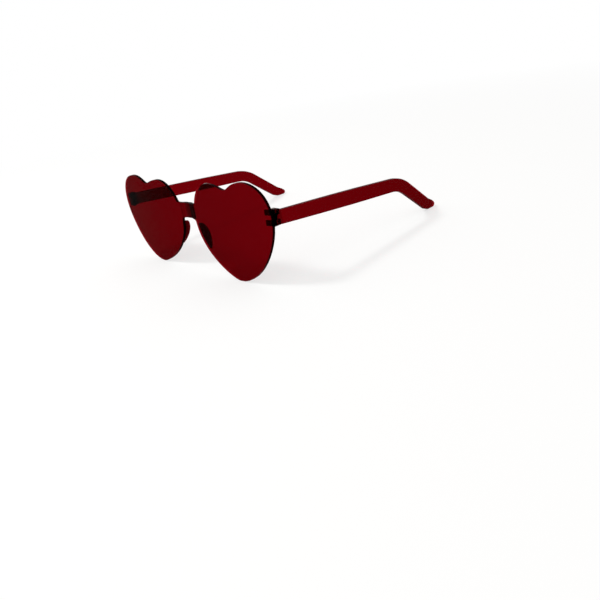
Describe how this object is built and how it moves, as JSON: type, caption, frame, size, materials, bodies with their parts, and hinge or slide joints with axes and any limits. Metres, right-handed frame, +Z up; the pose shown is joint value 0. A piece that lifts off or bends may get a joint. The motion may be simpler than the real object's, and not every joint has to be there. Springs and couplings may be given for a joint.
{
  "type": "heart shaped sunglasses",
  "caption": "Rimless one-piece sunglasses with heart shaped lenses in see-through red plastic, a set-back bridge, nose pads and flat folding temples.",
  "frame": {"origin": "middle of the footprint, on the surface that the open glasses stand on with the hearts' lowest points and the temple tips", "axes": "+X to the wearer's left, +Y from the front to the temple tips, +Z up"},
  "size_m": [0.1526, 0.1478, 0.0568],
  "materials": {
    "front": "clear red tint, glossy, polished edges",
    "temples": "clear red tint, glossy",
    "pads": "clear red tint, glossy",
    "hinge_blocks": "clear red tint, glossy",
    "screws": "plain turned steel"
  },
  "bodies": {
    "front": {"front_lens": "front", "nose_pad_left": "pads", "nose_pad_right": "pads", "hinge_block_left": "hinge_blocks", "hinge_block_right": "hinge_blocks", "hinge_screw_left": "screws", "hinge_screw_right": "screws"},
    "temple_left": {"temple_left": "temples"},
    "temple_right": {"temple_right": "temples"}
  },
  "joints": [
    {"name": "temple_left_fold", "type": "hinge", "parent": "front", "child": "temple_left", "pos_m": [0.072, -0.06698, 0.03865], "axis": [0, 0.033, 0.9995], "range_deg": [0, 90]},
    {"name": "temple_right_fold", "type": "hinge", "parent": "front", "child": "temple_right", "pos_m": [-0.072, -0.06698, 0.03865], "axis": [0, -0.033, -0.9995], "range_deg": [0, 83]}
  ]
}
